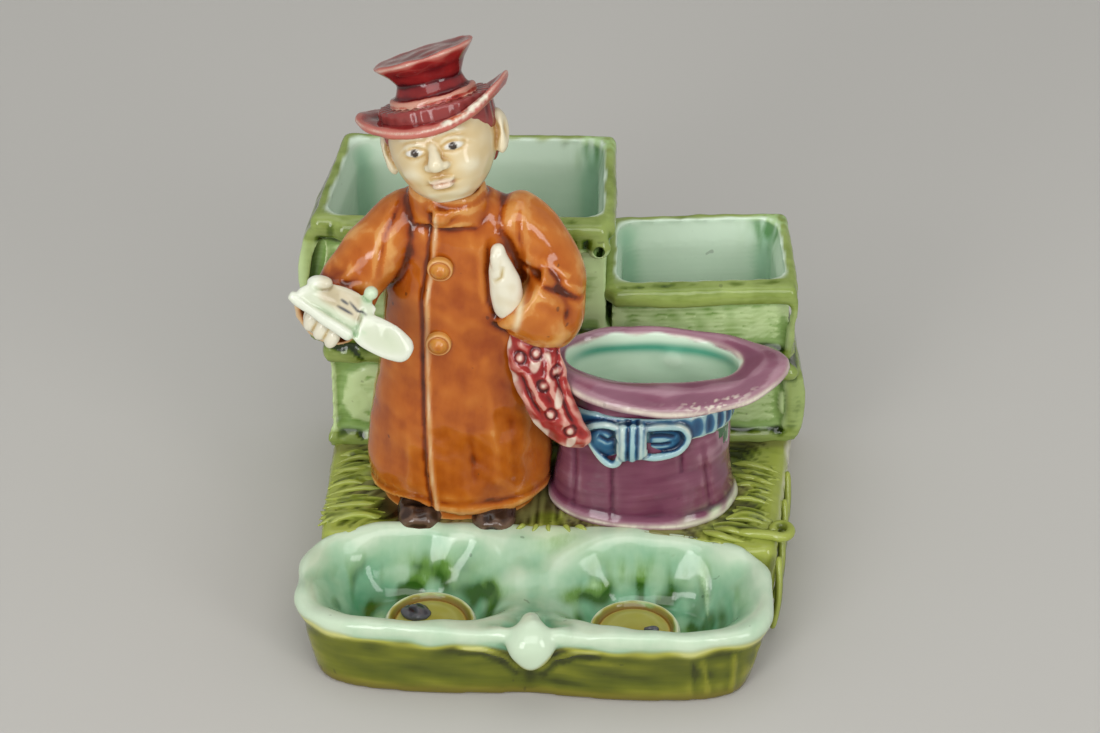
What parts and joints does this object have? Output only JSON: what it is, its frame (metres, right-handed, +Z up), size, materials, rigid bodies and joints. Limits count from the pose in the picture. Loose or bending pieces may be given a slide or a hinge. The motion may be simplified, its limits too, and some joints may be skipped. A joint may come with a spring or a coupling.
{
  "type": "match striker",
  "caption": "Glazed earthenware match striker: coated figure beside an upturned top hat, two stacks of ribbed books with open wells, and a double tray in front.",
  "frame": {"origin": "centre of the footprint, on the surface that the foot rim stands on", "axes": "+Z up through the hats, -Y towards the double tray at the front, +X towards the right book stack"},
  "size_m": [0.1465, 0.1401, 0.1724],
  "materials": {
    "green_glaze": "glossy",
    "aqua_glaze": "glossy",
    "amber_glaze": "glossy",
    "red_glaze": "glossy",
    "purple_glaze": "glossy",
    "blue_glaze": "glossy",
    "ivory_glaze": "glossy",
    "dark_glaze": "glossy"
  },
  "bodies": {
    "root": {"match_striker": "green_glaze"}
  },
  "joints": []
}
